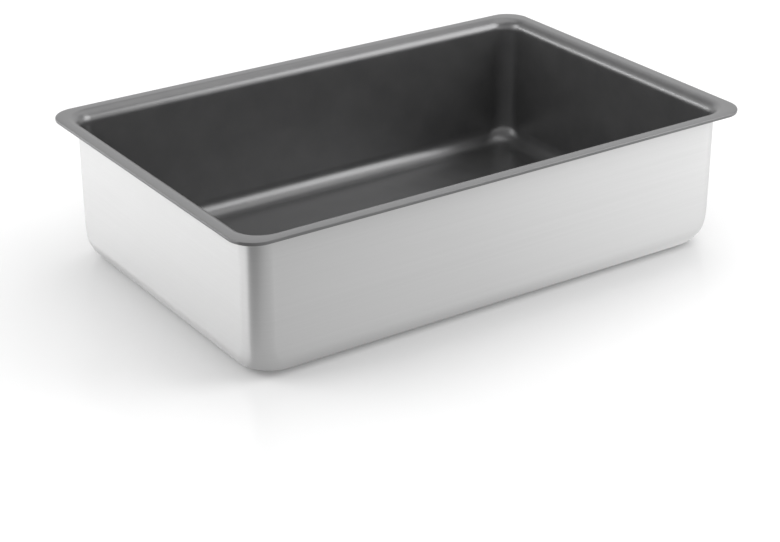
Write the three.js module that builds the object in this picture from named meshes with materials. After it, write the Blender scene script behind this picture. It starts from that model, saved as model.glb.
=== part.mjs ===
// Rye bread tin: a deep, straight-sided loaf tin drawn from one aluminium sheet, with a dark
// non-stick film baked over its inside, its rim and the rim's rounded edge.
// Millimetres, +Z up. The origin is the middle of the base, on the surface that the tin stands on.
import * as THREE from 'three';

// Sizes over all, with the film on the rim
const RIM_LENGTH = 300;
const RIM_WIDTH = 198;
const HEIGHT = 76;

// The sheet, and the film that lies on it
const SHEET = 1.2;
const FILM = 0.2;
const FILM_CLEARANCE = 0.05;

// The pressing: radii are those of the bare outer face
const RIM_FLAT = 4;
const SHOULDER_RADIUS = 4.8;
const BASE_FILLET = 11;

// Corners seen from above
const RIM_CORNER = 13.5;
const WALL_CORNER = 12;
const BASE_CORNER = 19;

// Facets of each quarter turn, and of the rim's half-round edge
const CORNER_STEPS = 8;
const BEND_STEPS = 8;
const EDGE_STEPS = 6;

// A skin's depth is counted from the bare outer face, inwards through the sheet and the film
const FILM_BACK = SHEET + FILM_CLEARANCE;
const FILM_FACE = FILM_BACK + FILM;

// Places on the section through a wall: x is the distance out from the rim's outer edge, so it is
// negative all over, and y is the height
const shoulderCentre = new THREE.Vector2(-RIM_FLAT, HEIGHT - FILM_FACE - SHOULDER_RADIUS);
const wallFace = shoulderCentre.x - SHOULDER_RADIUS;
const filletCentre = new THREE.Vector2(wallFace - BASE_FILLET, BASE_FILLET);
const edgeRadius = SHEET / 2;
const edgeCentre = new THREE.Vector2(SHEET - FILM_FACE - edgeRadius, HEIGHT - FILM_FACE + edgeRadius);

// Points of an arc on the section, each with the plan corner radius that cornerAt gives it
function bend(centre, radius, startAngle, endAngle, steps, cornerAt) {
  const clockwise = endAngle < startAngle;
  const arc = new THREE.ArcCurve(centre.x, centre.y, radius, startAngle, endAngle, clockwise);
  return arc.getPoints(steps).map((point) => ({ out: point.x, height: point.y, corner: cornerAt(point) }));
}

// One face of the pressing from the flat base, round the fillet, up the wall and over the shoulder.
// The corners ease from the upright wall into fuller, ball-shaped ones at the base.
function pressedFace(depth) {
  const filletRadius = BASE_FILLET - depth;
  const filletCorner = (point) => {
    const share = (point.x - filletCentre.x) / filletRadius;
    return THREE.MathUtils.lerp(BASE_CORNER, WALL_CORNER - depth, share);
  };
  const shoulderCorner = (point) => WALL_CORNER + point.x - wallFace;
  return [
    ...bend(filletCentre, filletRadius, -Math.PI / 2, 0, BEND_STEPS, filletCorner),
    ...bend(shoulderCentre, SHOULDER_RADIUS + depth, Math.PI, Math.PI / 2, BEND_STEPS, shoulderCorner),
  ];
}

// The half-round along the rim's outer edge, from the underside up to the top
function roundedEdge(thickness) {
  const edgeCorner = (point) => RIM_CORNER + point.x;
  return bend(edgeCentre, edgeRadius + thickness, -Math.PI / 2, Math.PI / 2, EDGE_STEPS, edgeCorner);
}

// The outline of the tin at one station, seen from above: a rectangle with round corners
function planOutline(station) {
  const x = RIM_LENGTH / 2 + station.out - station.corner;
  const y = RIM_WIDTH / 2 + station.out - station.corner;
  const quarter = Math.PI / 2;
  const outline = new THREE.Path();
  outline.absarc(x, y, station.corner, 0, quarter);
  outline.absarc(-x, y, station.corner, quarter, 2 * quarter);
  outline.absarc(-x, -y, station.corner, 2 * quarter, 3 * quarter);
  outline.absarc(x, -y, station.corner, 3 * quarter, 4 * quarter);
  return outline.getPoints(CORNER_STEPS / 2);
}

// Joins the outlines at all stations into one closed skin, with a flat cap on the first and the last
function loft(stations) {
  const outlines = stations.map(planOutline);
  const count = outlines[0].length;
  const positions = [];
  outlines.forEach((outline, level) => {
    outline.forEach((point) => positions.push(point.x, point.y, stations[level].height));
  });
  const indices = [];
  for (let level = 0; level + 1 < stations.length; level += 1) {
    for (let side = 0; side < count; side += 1) {
      const next = (side + 1) % count;
      const low = level * count;
      const high = low + count;
      indices.push(low + side, low + next, high + next);
      indices.push(low + side, high + next, high + side);
    }
  }
  const lastRing = (stations.length - 1) * count;
  const lowMiddle = positions.length / 3;
  const highMiddle = lowMiddle + 1;
  positions.push(0, 0, stations[0].height);
  positions.push(0, 0, stations[stations.length - 1].height);
  for (let side = 0; side < count; side += 1) {
    const next = (side + 1) % count;
    indices.push(lowMiddle, next, side);
    indices.push(highMiddle, lastRing + side, lastRing + next);
  }
  const geometry = new THREE.BufferGeometry();
  geometry.setAttribute('position', new THREE.Float32BufferAttribute(positions, 3));
  geometry.setIndex(indices);
  geometry.computeVertexNormals();
  return geometry;
}

function namedMesh(name, geometry, material) {
  const mesh = new THREE.Mesh(geometry, material);
  mesh.name = name;
  return mesh;
}

// The drawn sheet: up the bare outer face, round the rim's edge and down the inner face
function tinBody() {
  const satinAluminium = new THREE.MeshStandardMaterial({ color: 0xcfd0d1, metalness: 1, roughness: 0.42 });
  const stations = [...pressedFace(0), ...roundedEdge(0), ...pressedFace(SHEET).reverse()];
  return namedMesh('tin_body', loft(stations), satinAluminium);
}

// The film: along the sheet's inner face, round under the rim's edge, then back over its own face
function nonstickLining() {
  const bakedFilm = new THREE.MeshStandardMaterial({ color: 0x5a5856, metalness: 0.2, roughness: 0.45 });
  const stations = [
    ...pressedFace(FILM_BACK),
    ...roundedEdge(FILM_BACK - SHEET).reverse(),
    ...roundedEdge(FILM_FACE - SHEET),
    ...pressedFace(FILM_FACE).reverse(),
  ];
  return namedMesh('nonstick_lining', loft(stations), bakedFilm);
}

const breadTin = new THREE.Group();
breadTin.add(tinBody(), nonstickLining());

export default breadTin;
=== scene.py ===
# %% [markdown]
# # A drawn bread tin
# This lesson dresses a deep, straight-sided bread tin. The real one is a single aluminium sheet that a
# press has drawn into a box, with a dark non-stick film baked over its inside and its rim. The packed
# model gives the frame that everything else is fitted to, so it is loaded first and never touched.

# %% Load the frame
from collections import namedtuple
from math import cos, radians, sin, sqrt

import bmesh
import bpy
from mathutils import Matrix, Vector


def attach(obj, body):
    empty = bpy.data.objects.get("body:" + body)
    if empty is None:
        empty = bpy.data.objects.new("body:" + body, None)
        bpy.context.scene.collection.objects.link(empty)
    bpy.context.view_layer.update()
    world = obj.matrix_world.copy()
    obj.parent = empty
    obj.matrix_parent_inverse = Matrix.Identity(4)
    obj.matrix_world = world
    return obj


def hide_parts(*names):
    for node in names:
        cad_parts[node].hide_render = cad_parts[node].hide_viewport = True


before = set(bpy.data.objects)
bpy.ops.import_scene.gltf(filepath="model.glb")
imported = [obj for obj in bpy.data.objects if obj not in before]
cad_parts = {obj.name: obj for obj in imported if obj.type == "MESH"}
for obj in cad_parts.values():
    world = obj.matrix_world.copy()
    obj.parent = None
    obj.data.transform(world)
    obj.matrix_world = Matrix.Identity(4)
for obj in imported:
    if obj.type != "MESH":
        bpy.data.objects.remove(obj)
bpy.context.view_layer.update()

MM = 0.001

# %% [markdown]
# ## The camera
# The picture was taken from above the near corner, with a long lens that keeps the walls almost
# upright. The place and the focal length come from fitting the tin's outline to the picture.

# %% Camera
AZIMUTH = -34.324
ELEVATION = 25.562
CAMERA_PLACE = Vector((-523.47, -759.14, 426.56)) * MM
FOCAL_PIXELS = 1921.5
PICTURE_WIDTH = 780

towards_camera = Vector((
    sin(radians(AZIMUTH)) * cos(radians(ELEVATION)),
    -cos(radians(AZIMUTH)) * cos(radians(ELEVATION)),
    sin(radians(ELEVATION)),
))
camera_data = bpy.data.cameras.new("camera")
camera_data.sensor_fit = "HORIZONTAL"
camera_data.sensor_width = 36
camera_data.lens = 36 * FOCAL_PIXELS / PICTURE_WIDTH
camera = bpy.data.objects.new("camera", camera_data)
camera.location = CAMERA_PLACE
camera.rotation_euler = (-towards_camera).to_track_quat("-Z", "Y").to_euler()
bpy.context.collection.objects.link(camera)
bpy.context.scene.camera = camera
print("camera: lens", round(camera_data.lens, 1), "mm")

# %% [markdown]
# ## Sizes of the pressing
# These are the sizes of the solid tin, in metres. Radii are those of the bare outer face. The sheet keeps
# its thickness all the way, and the film lies on it with a hair of room between. Only the base corners
# differ from the solid's: like the real ones they begin to round off above the fillet, at BALL_TOP, and
# are full from BALL_FULL down.

# %% Sizes
RIM_LENGTH = 300 * MM
RIM_WIDTH = 198 * MM
HEIGHT = 76 * MM
SHEET = 1.2 * MM
FILM = 0.2 * MM
FILM_CLEARANCE = 0.05 * MM
RIM_FLAT = 4 * MM
SHOULDER_RADIUS = 4.8 * MM
BASE_FILLET = 11 * MM
RIM_CORNER = 13.5 * MM
WALL_CORNER = 12 * MM
BASE_CORNER = 16.5 * MM
BALL_FULL = 4 * MM
BALL_TOP = 18 * MM

FILM_BACK = SHEET + FILM_CLEARANCE
FILM_FACE = FILM_BACK + FILM
WALL_FACE = -RIM_FLAT - SHOULDER_RADIUS
SHOULDER_CENTRE = Vector((-RIM_FLAT, HEIGHT - FILM_FACE - SHOULDER_RADIUS))
FILLET_CENTRE = Vector((WALL_FACE - BASE_FILLET, BASE_FILLET))
EDGE_BREAK = 0.15 * MM
EDGE_LOW = Vector((SHEET - FILM_FACE - EDGE_BREAK, HEIGHT - FILM_FACE + EDGE_BREAK))
EDGE_HIGH = Vector((EDGE_LOW.x, HEIGHT - FILM_FACE + SHEET - EDGE_BREAK))
print("overhang of the rim:", round(-WALL_FACE / MM, 2), "mm")

# %% [markdown]
# ## The section through a wall
# A pressing could be cut from a block with bevels, but its base corners are fuller than its wall corners
# and its rim corners are tighter, which no single bevel gives. So the section is walked from the middle
# of the base outwards, and each stop notes how far out it is from the rim's edge, how high, and how round
# the tin's corners are there.

# %% Stops along the section
Stop = namedtuple("Stop", "out height corner")
BEND_STEPS = 14
EDGE_STEPS = 6
WALL_RINGS = 12


def bend(centre, radius, start, end, corner_at, steps=BEND_STEPS):
    stops = []
    for step in range(steps + 1):
        turn = radians(start + (end - start) * step / steps)
        out = centre.x + radius * cos(turn)
        stops.append(Stop(out, centre.y + radius * sin(turn), corner_at(out)))
    return stops


def ball_corner(height):
    """Corner radius of the bare outer face, which eases from the wall's into the base's"""
    down = min(max((BALL_TOP - height) / (BALL_TOP - BALL_FULL), 0), 1)
    return WALL_CORNER + (BASE_CORNER - WALL_CORNER) * down * down * (3 - 2 * down)


def pressed_face(depth):
    """One face of the sheet or the film, from the flat base up to the rim"""
    fillet_radius = BASE_FILLET - depth

    def fillet_corner(out):
        share = min((out - FILLET_CENTRE.x) / fillet_radius, 1)
        return ball_corner(BASE_FILLET * (1 - sqrt(1 - share * share))) - depth * share

    def shoulder_corner(out):
        return WALL_CORNER + out - WALL_FACE

    fillet = bend(FILLET_CENTRE, fillet_radius, -90, 0, fillet_corner)
    shoulder = bend(SHOULDER_CENTRE, SHOULDER_RADIUS + depth, 180, 90, shoulder_corner)
    low, high = fillet[-1], shoulder[0]
    wall = []
    for ring in range(WALL_RINGS):
        share = (ring + 1) / (WALL_RINGS + 0.3)
        height = low.height + (high.height - low.height) * share * share
        wall.append(Stop(low.out, height, ball_corner(height) - depth))
    return fillet + wall + shoulder


def rim_edge(thickness):
    """The cut edge of the rim with its two broken corners, from the underside to the top"""
    lower = bend(EDGE_LOW, EDGE_BREAK + thickness, -90, 0, lambda out: RIM_CORNER + out, EDGE_STEPS)
    upper = bend(EDGE_HIGH, EDGE_BREAK + thickness, 0, 90, lambda out: RIM_CORNER + out, EDGE_STEPS)
    return lower + upper


sheet_stops = pressed_face(0) + rim_edge(0) + pressed_face(SHEET)[::-1]
film_stops = (
    pressed_face(FILM_BACK)
    + rim_edge(FILM_BACK - SHEET)[::-1]
    + rim_edge(FILM_FACE - SHEET)
    + pressed_face(FILM_FACE)[::-1]
)
print("stops on the sheet:", len(sheet_stops), "and on the film:", len(film_stops))

# %% [markdown]
# ## Drawing the skin up, ring by ring
# A circle whose quarters are pulled apart is a rectangle with round corners. That ring is extruded from
# stop to stop, and at each one every quarter grows or shrinks about its own corner's centre, much as the
# press pulls the metal over its edge. Two flat fills close the skin, and an inset keeps the shading of
# each fill flat right up to its border.

# %% Draw a skin
CORNER_STEPS = 28
QUARTERS = ((1, 1), (-1, 1), (-1, -1), (1, -1))
FLAT_MARGIN = 3 * MM


def corner_centre(stop, side):
    x = RIM_LENGTH / 2 + stop.out - stop.corner
    y = RIM_WIDTH / 2 + stop.out - stop.corner
    return Vector((side[0] * x, side[1] * y, stop.height))


def carry_ring(skin, ring, before, after):
    grow = after.corner / before.corner
    for side in QUARTERS:
        quarter = [v for v in ring if v.co.x * side[0] > 0 and v.co.y * side[1] > 0]
        move = (
            Matrix.Translation(corner_centre(after, side))
            @ Matrix.Diagonal((grow, grow, 1, 1))
            @ Matrix.Translation(-corner_centre(before, side))
        )
        bmesh.ops.transform(skin, matrix=move, verts=quarter)


def draw_skin(name, stops):
    skin = bmesh.new()
    half_step = radians(45 / CORNER_STEPS)
    circle = bmesh.ops.create_circle(
        skin,
        segments=4 * CORNER_STEPS,
        radius=stops[0].corner / cos(half_step),
        matrix=Matrix.Rotation(half_step, 4, "Z"),
    )
    for side in QUARTERS:
        quarter = [v for v in circle["verts"] if v.co.x * side[0] > 0 and v.co.y * side[1] > 0]
        bmesh.ops.translate(skin, verts=quarter, vec=corner_centre(stops[0], side))
    first_ring = list(skin.edges)
    ring = first_ring
    for before, after in zip(stops, stops[1:]):
        grown = bmesh.ops.extrude_edge_only(skin, edges=ring)["geom"]
        ring = [part for part in grown if isinstance(part, bmesh.types.BMEdge)]
        carry_ring(skin, [part for part in grown if isinstance(part, bmesh.types.BMVert)], before, after)
    for border in (first_ring, ring):
        fill = bmesh.ops.edgeloop_fill(skin, edges=border)["faces"]
        bmesh.ops.inset_individual(skin, faces=fill, thickness=FLAT_MARGIN)
    bmesh.ops.recalc_face_normals(skin, faces=skin.faces)
    mesh = bpy.data.meshes.new(name)
    skin.to_mesh(mesh)
    skin.free()
    mesh.shade_smooth()
    piece = bpy.data.objects.new(name, mesh)
    bpy.context.collection.objects.link(piece)
    print(name, "has", len(mesh.polygons), "faces")
    return piece


drawn_sheet = draw_skin("drawn_sheet", sheet_stops)
baked_film = draw_skin("baked_film", film_stops)

# %% [markdown]
# ## Colours and nodes
# Colours are written as the sRGB values that a paint chart gives, and one function turns them to the
# linear light that shaders count in. Another adds a node, sets it and links it.

# %% Helpers for materials


def linear(hex_colour):
    channels = [int(hex_colour[i:i + 2], 16) / 255 for i in (1, 3, 5)]
    return [c / 12.92 if c <= 0.04045 else ((c + 0.055) / 1.055) ** 2.4 for c in channels] + [1]


def add_node(material, kind, settings=None, **inputs):
    node = material.node_tree.nodes.new(kind)
    for name, value in (settings or {}).items():
        setattr(node, name, value)
    for name, value in inputs.items():
        socket = node.inputs[name.replace("_", " ")]
        if isinstance(value, bpy.types.NodeSocket):
            material.node_tree.links.new(value, socket)
        else:
            socket.default_value = value
    return node


def new_material(name):
    material = bpy.data.materials.new(name)
    material.use_nodes = True
    material.node_tree.nodes.clear()
    return material


print("mid grey in linear light:", [round(c, 3) for c in linear("#808080")])

# %% [markdown]
# ## Satin aluminium
# The outside is bare aluminium with a fine satin grain that runs round the walls. Such a grain smears a
# reflection across itself, up and down, and leaves it sharp sideways: that is why each wall is one calm
# tone and the round corner shows a crisp upright band. The dark band and the long wall's slow change from
# grey to white are painted reflections of the glowing card further down. The tangent runs round the tin and
# a quarter turn of the anisotropy points the smear upwards. The same grain shifts tone, roughness and
# relief a little. It is about 0.1 mm fine in life and is drawn at 1 mm, so that a picture can show a trace
# of it.

# %% Satin aluminium
GRAIN_HEIGHT = 1.0 * MM
GRAIN_LENGTH = 160 * MM

aluminium = new_material("satin_drawn_aluminium")
place = add_node(aluminium, "ShaderNodeTexCoord")
stretch = add_node(
    aluminium,
    "ShaderNodeMapping",
    Vector=place.outputs["Object"],
    Scale=(1 / GRAIN_LENGTH, 1 / GRAIN_LENGTH, 1 / GRAIN_HEIGHT),
)
grain = add_node(aluminium, "ShaderNodeTexNoise", Vector=stretch.outputs["Vector"], Scale=1.0, Detail=4.0)
dull = add_node(
    aluminium,
    "ShaderNodeMapRange",
    Value=grain.outputs["Fac"],
    From_Min=0.3,
    From_Max=0.7,
    To_Min=0.42,
    To_Max=0.46,
)
relief = add_node(
    aluminium,
    "ShaderNodeBump",
    Height=grain.outputs["Fac"],
    Strength=0.2,
    Distance=0.02 * MM,
)
tone = add_node(aluminium, "ShaderNodeValToRGB", Fac=grain.outputs["Fac"])
tone.color_ramp.elements[0].color = linear("#cdcdcd")
tone.color_ramp.elements[1].color = linear("#d5d5d5")
around = add_node(aluminium, "ShaderNodeTangent", {"direction_type": "RADIAL", "axis": "Z"})
shader = add_node(
    aluminium,
    "ShaderNodeBsdfPrincipled",
    Base_Color=tone.outputs["Color"],
    Metallic=1.0,
    Roughness=dull.outputs["Result"],
    Anisotropic=0.7,
    Anisotropic_Rotation=0.25,
    Normal=relief.outputs["Normal"],
    Tangent=around.outputs["Tangent"],
)
add_node(aluminium, "ShaderNodeOutputMaterial", Surface=shader.outputs["BSDF"])
drawn_sheet.data.materials.append(aluminium)
print("outside:", aluminium.name)

# %% [markdown]
# ## Non-stick film
# The film is sprayed on and baked. It is a dark grey with fine metal flake in it, so it reflects like a
# dim mirror with soft edges: bright along the bends, almost black on the walls that face each other. The
# spray leaves a faint orange peel about 1.5 mm wide, which the bump gives, and it dries a little duller
# and darker in patches a finger wide.

# %% Non-stick film
PEEL = 1.5 * MM
PATCH = 12 * MM

film = new_material("baked_nonstick_film")
place = add_node(film, "ShaderNodeTexCoord")
peel = add_node(film, "ShaderNodeTexNoise", Vector=place.outputs["Object"], Scale=1 / PEEL, Detail=2.0)
patches = add_node(film, "ShaderNodeTexNoise", Vector=place.outputs["Object"], Scale=1 / PATCH, Detail=3.0)
dull = add_node(
    film,
    "ShaderNodeMapRange",
    Value=patches.outputs["Fac"],
    From_Min=0.3,
    From_Max=0.7,
    To_Min=0.28,
    To_Max=0.33,
)
relief = add_node(film, "ShaderNodeBump", Height=peel.outputs["Fac"], Strength=0.25, Distance=0.02 * MM)
tone = add_node(film, "ShaderNodeValToRGB", Fac=patches.outputs["Fac"])
tone.color_ramp.elements[0].color = linear("#6d6d6e")
tone.color_ramp.elements[1].color = linear("#797979")
shader = add_node(
    film,
    "ShaderNodeBsdfPrincipled",
    Base_Color=tone.outputs["Color"],
    Metallic=0.7,
    Roughness=dull.outputs["Result"],
    Normal=relief.outputs["Normal"],
)
add_node(film, "ShaderNodeOutputMaterial", Surface=shader.outputs["BSDF"])
baked_film.data.materials.append(film)
print("inside:", film.name)

# %% [markdown]
# ## The floor
# A large white sheet with a slight polish. Round the tin it is lit like anything else, so it holds the
# soft shadow at the foot and a faint mirror image of the walls. Further out a studio floor is lit until
# it is plain white: there it turns into a white that the camera and the reflections see alike, and the
# background has no edge from any side. A little of that white is mixed in near the tin as well, as on a
# sheet that is lit from below.

# %% Shape of the floor
FLOOR_REACH = 8.0

sheet = bmesh.new()
bmesh.ops.create_grid(sheet, x_segments=1, y_segments=1, size=FLOOR_REACH)
floor_mesh = bpy.data.meshes.new("floor")
sheet.to_mesh(floor_mesh)
sheet.free()
floor = bpy.data.objects.new("floor", floor_mesh)
bpy.context.collection.objects.link(floor)
print("floor:", 2 * FLOOR_REACH, "m wide")

# %% White of the floor
LIT_FROM, LIT_TO = 0.40, 0.80
LIT_NEAR = 0.14

white = new_material("white_floor")
place = add_node(white, "ShaderNodeTexCoord")
away = add_node(white, "ShaderNodeVectorMath", {"operation": "LENGTH"}, Vector=place.outputs["Object"])
far = add_node(
    white,
    "ShaderNodeMapRange",
    {"interpolation_type": "SMOOTHSTEP"},
    Value=away.outputs["Value"],
    From_Min=LIT_FROM,
    From_Max=LIT_TO,
    To_Min=LIT_NEAR,
)
rays = add_node(white, "ShaderNodeLightPath")
seen = rays.outputs["Is Camera Ray"]
for kind in ("Is Glossy Ray", "Is Transmission Ray"):
    either = add_node(white, "ShaderNodeMath", {"operation": "MAXIMUM"})
    white.node_tree.links.new(seen, either.inputs[0])
    white.node_tree.links.new(rays.outputs[kind], either.inputs[1])
    seen = either.outputs["Value"]
blend = add_node(white, "ShaderNodeMath", {"operation": "MULTIPLY"})
white.node_tree.links.new(far.outputs["Result"], blend.inputs[0])
white.node_tree.links.new(seen, blend.inputs[1])
shaded = add_node(white, "ShaderNodeBsdfPrincipled", Base_Color=linear("#fefefe"), Roughness=0.2)
plain = add_node(white, "ShaderNodeEmission", Color=linear("#ffffff"), Strength=1.0)
mixed = add_node(white, "ShaderNodeMixShader", Fac=blend.outputs["Value"])
white.node_tree.links.new(shaded.outputs["BSDF"], mixed.inputs[1])
white.node_tree.links.new(plain.outputs["Emission"], mixed.inputs[2])
add_node(white, "ShaderNodeOutputMaterial", Surface=mixed.outputs["Shader"])
floor.data.materials.append(white)
print("floor: plain white from", LIT_TO, "m out")

# %% [markdown]
# ## A glowing card that paints the metal's reflections
# Bare metal has no tone of its own, it shows what stands in front of it. So a glowing card is put close
# to the tin, dark at one end and white at the other, as a painted reflection: the long wall picks up its
# slow change from grey to white and the near corner picks up its dark end as a painted dark band. The card
# starts under the foot of the tin, bends round the near corner and slopes up and away. Only reflections
# see it: it throws no shadow and no light on the floor, and from behind it is clear.

# %% Shape of the card
CARD_ROWS = (
    ((160, -80.7, 0.2), (-111, -80.7, 0.2), (-125.7, -74.7, 0.2), (-130.5, -67.2, 0.2)),
    ((170, -95, 1), (-115, -95, 1), (-138, -90, 1), (-147, -83.5, 1)),
    ((460, -322, 210), (-207.5, -322, 210), (-319, -210, 210), (-374, -94.5, 210)),
)

sheet = bmesh.new()
rows = [[sheet.verts.new(Vector(spot) * MM) for spot in row] for row in CARD_ROWS]
for near, far in zip(rows, rows[1:]):
    for column in range(3):
        corners = near[column:column + 2] + far[column:column + 2]
        bmesh.ops.contextual_create(sheet, geom=corners)
# The card is a painted reflection: a glowing sheet that only the tin's reflections see.
card_mesh = bpy.data.meshes.new("painted_reflection_card")
sheet.to_mesh(card_mesh)
sheet.free()
card = bpy.data.objects.new("painted_reflection_card", card_mesh)
card.visible_camera = False
card.visible_diffuse = False
card.visible_shadow = False
bpy.context.collection.objects.link(card)
print("card:", len(card_mesh.polygons), "faces, all turned up:", all(f.normal.z > 0 for f in card_mesh.polygons))

# %% [markdown]
# ## Tones on the card
# The tones follow the tin's length: each pair is a place along it in metres and the light that the card
# gives there. Near the floor the card is darker, a painted shadow between itself and the tin that the
# tin's foot shows as a dark line, and it is darkest where it meets the tin's foot. Towards the white end
# that painted shadow thins out.

# %% Tones on the card
CARD_TONES = (
    (-0.20, 0.27),
    (-0.165, 0.40),
    (-0.145, 0.60),
    (-0.11, 0.69),
    (0.0, 0.78),
    (0.13, 1.06),
    (0.25, 1.35),
)
SHADED_FOOT = 18 * MM

# Its glow paints the reflection on the long wall and the dark band on the near corner.
paint = new_material("painted_reflection_card")
place = add_node(paint, "ShaderNodeTexCoord")
split = add_node(paint, "ShaderNodeSeparateXYZ", Vector=place.outputs["Object"])
along = add_node(
    paint,
    "ShaderNodeMapRange",
    Value=split.outputs["X"],
    From_Min=CARD_TONES[0][0],
    From_Max=CARD_TONES[-1][0],
)
tones = add_node(paint, "ShaderNodeValToRGB", Fac=along.outputs["Result"])
while len(tones.color_ramp.elements) < len(CARD_TONES):
    tones.color_ramp.elements.new(1.0)
for element, (x, tone) in zip(tones.color_ramp.elements, CARD_TONES):
    element.position = (x - CARD_TONES[0][0]) / (CARD_TONES[-1][0] - CARD_TONES[0][0])
    element.color = (tone, tone, tone, 1)
# Painted shadow on the card near the floor, fading towards its white end.
painted_shadow_fade = add_node(
    paint,
    "ShaderNodeMapRange",
    Value=split.outputs["X"],
    From_Min=0.02,
    From_Max=0.13,
    To_Min=0.5,
    To_Max=1.0,
)
painted_contact_shadow = add_node(
    paint,
    "ShaderNodeMapRange",
    Value=split.outputs["Z"],
    From_Min=CARD_ROWS[0][0][2] * MM,
    From_Max=CARD_ROWS[1][0][2] * MM,
    To_Min=painted_shadow_fade.outputs["Result"],
    To_Max=0.92,
)
shade = add_node(
    paint,
    "ShaderNodeMapRange",
    {"interpolation_type": "SMOOTHSTEP"},
    Value=split.outputs["Z"],
    From_Max=SHADED_FOOT,
    To_Min=painted_contact_shadow.outputs["Result"],
)
front = add_node(paint, "ShaderNodeEmission", Color=tones.outputs["Color"], Strength=shade.outputs["Result"])
clear = add_node(paint, "ShaderNodeBsdfTransparent")
facing = add_node(paint, "ShaderNodeNewGeometry")
sides = add_node(paint, "ShaderNodeMixShader", Fac=facing.outputs["Backfacing"])
paint.node_tree.links.new(front.outputs["Emission"], sides.inputs[1])
paint.node_tree.links.new(clear.outputs["BSDF"], sides.inputs[2])
add_node(paint, "ShaderNodeOutputMaterial", Surface=sides.outputs["Shader"])
card.data.materials.append(paint)
print("tones:", [tone for x, tone in CARD_TONES])

# %% [markdown]
# ## The room
# White walls all round and a greyer ceiling. The walls fill the shadows and stand behind the tin as the
# white background; the ceiling is what makes the hollow of the rim's bend darker than its flat.

# %% Room
CEILING = 0.45

world = bpy.data.worlds.new("white_room")
world.use_nodes = True
world.node_tree.nodes.clear()
bpy.context.scene.world = world
heading = add_node(world, "ShaderNodeTexCoord")
height = add_node(world, "ShaderNodeSeparateXYZ", Vector=heading.outputs["Generated"])
ceiling = add_node(
    world,
    "ShaderNodeMapRange",
    {"interpolation_type": "SMOOTHSTEP"},
    Value=height.outputs["Z"],
    From_Min=0.35,
    From_Max=0.75,
    To_Min=1.0,
    To_Max=CEILING,
)
room = add_node(world, "ShaderNodeBackground", Color=linear("#ffffff"), Strength=ceiling.outputs["Result"])
add_node(world, "ShaderNodeOutputWorld", Surface=room.outputs["Background"])
print("room: white walls, ceiling at", CEILING)

# %% [markdown]
# ## Softboxes
# Large soft lamps, all aimed at the middle of the tin and hidden from the camera. The one at the right
# draws the highlight along the far rim, the narrow one at the left draws it along the short far rim, and
# the others lift the floor behind and beside the tin so that its shadow falls to the front.

# %% Softboxes


def softbox(name, place, size, watts):
    lamp_data = bpy.data.lights.new(name, "AREA")
    lamp_data.shape = "RECTANGLE"
    lamp_data.size, lamp_data.size_y = size
    lamp_data.energy = watts
    lamp = bpy.data.objects.new(name, lamp_data)
    lamp.location = place
    lamp.rotation_euler = (Vector(place) - Vector((0, 0, HEIGHT / 2))).to_track_quat("Z", "Y").to_euler()
    lamp.visible_camera = False
    bpy.context.collection.objects.link(lamp)
    print(name, watts, "W")


softbox("right_front", (0.58, -0.42, 0.52), (0.58, 0.5), 3.2)
softbox("overhead", (0.33, 0.08, 1.02), (1.0, 0.9), 2.85)
softbox("left_high", (-0.815, 0.296, 0.697), (0.62, 0.6), 3.2)
softbox("back_high", (0.50, 0.70, 0.697), (0.8, 0.6), 0.6)
softbox("left_low", (-0.53, 0.94, 0.249), (0.7, 0.5), 1.1)
softbox("left_strip", (-0.705, 0.756, 0.396), (0.4, 0.12), 0.8)

# %% [markdown]
# ## Handing over
# Each piece is tied to the solid that it stands for. Dressing the tin must not make it grow. Light that
# the metal would throw back on the floor is left out, because it comes as bright specks and streaks rather
# than as a soft glow.

# %% Hand over
bpy.context.scene.view_settings.view_transform = "Standard"
bpy.context.scene.cycles.caustics_reflective = False
for piece, node, slot in (
    (drawn_sheet, "tin_body", "satin_aluminium"),
    (baked_film, "nonstick_lining", "nonstick_film"),
):
    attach(piece, "root")
    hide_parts(node)
